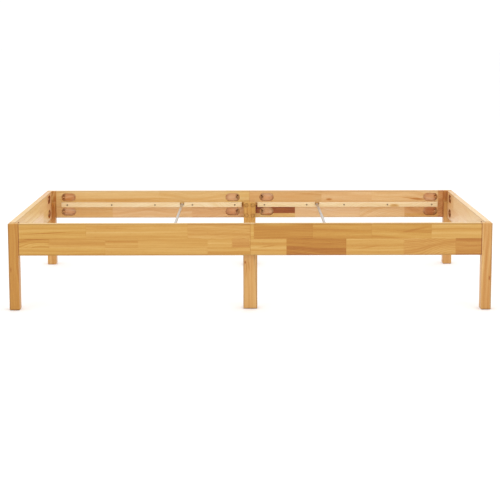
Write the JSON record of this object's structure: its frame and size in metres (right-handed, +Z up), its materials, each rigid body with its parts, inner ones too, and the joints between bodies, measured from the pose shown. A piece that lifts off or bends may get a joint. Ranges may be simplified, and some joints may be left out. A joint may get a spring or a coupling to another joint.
{
  "type": "wooden bed frame",
  "caption": "Low solid-wood bed frame without headboard: butted side rails on square corner and middle legs, inner ledgers and metal crossbars for a slatted base.",
  "frame": {"origin": "centre of the bounding box on the floor, under the middle of the bed", "axes": "+X along the bed to its right-hand end, +Y across it to its back side rail, +Z up from the floor to the top of the rails"},
  "size_m": [2.06, 1.06, 0.375],
  "materials": {
    "hardwood": "oiled, satin",
    "softwood": "planed, raw",
    "dowel_wood": "raw",
    "crossbar_metal": "mill finish, satin",
    "zinc": "zinc plated",
    "bronzed_steel": "bronze passivated, satin",
    "dark_steel": "dark phosphated",
    "bolt_brass": "brass plated, satin",
    "brass_insert": "turned brass"
  },
  "bodies": {
    "root": {"leg_front_left": "hardwood", "leg_front_right": "hardwood", "leg_back_left": "hardwood", "leg_back_right": "hardwood", "mid_leg_front": "hardwood", "mid_leg_back": "hardwood", "side_rail_front_left": "hardwood", "side_rail_front_right": "hardwood", "side_rail_back_left": "hardwood", "side_rail_back_right": "hardwood", "end_rail_left": "hardwood", "end_rail_right": "hardwood", "ledger_front_left": "softwood", "ledger_front_right": "softwood", "ledger_back_left": "softwood", "ledger_back_right": "softwood", "crossbar_left": "crossbar_metal", "crossbar_right": "crossbar_metal", "corner_inserts_front_left": "brass_insert", "corner_inserts_front_right": "brass_insert", "corner_inserts_back_left": "brass_insert", "corner_inserts_back_right": "brass_insert", "corner_studs_front_left": "bronzed_steel", "corner_studs_front_right": "bronzed_steel", "corner_studs_back_left": "bronzed_steel", "corner_studs_back_right": "bronzed_steel", "corner_washers_front_left": "bronzed_steel", "corner_washers_front_right": "bronzed_steel", "corner_washers_back_left": "bronzed_steel", "corner_washers_back_right": "bronzed_steel", "corner_nuts_front_left": "bronzed_steel", "corner_nuts_front_right": "bronzed_steel", "corner_nuts_back_left": "bronzed_steel", "corner_nuts_back_right": "bronzed_steel", "corner_dowels_front_left": "dowel_wood", "corner_dowels_front_right": "dowel_wood", "corner_dowels_back_left": "dowel_wood", "corner_dowels_back_right": "dowel_wood", "seam_studs_front": "bronzed_steel", "seam_studs_back": "bronzed_steel", "seam_washers_front": "bronzed_steel", "seam_washers_back": "bronzed_steel", "seam_nuts_front": "bronzed_steel", "seam_nuts_back": "bronzed_steel", "seam_dowels_front": "dowel_wood", "seam_dowels_back": "dowel_wood", "mid_leg_bolts_front": "bolt_brass", "mid_leg_bolts_back": "bolt_brass", "mid_leg_inserts_front": "brass_insert", "mid_leg_inserts_back": "brass_insert", "ledger_screws_front_left": "dark_steel", "ledger_screws_front_right": "dark_steel", "ledger_screws_back_left": "dark_steel", "ledger_screws_back_right": "dark_steel", "crossbar_screws_left": "zinc", "crossbar_screws_right": "zinc"}
  },
  "joints": []
}
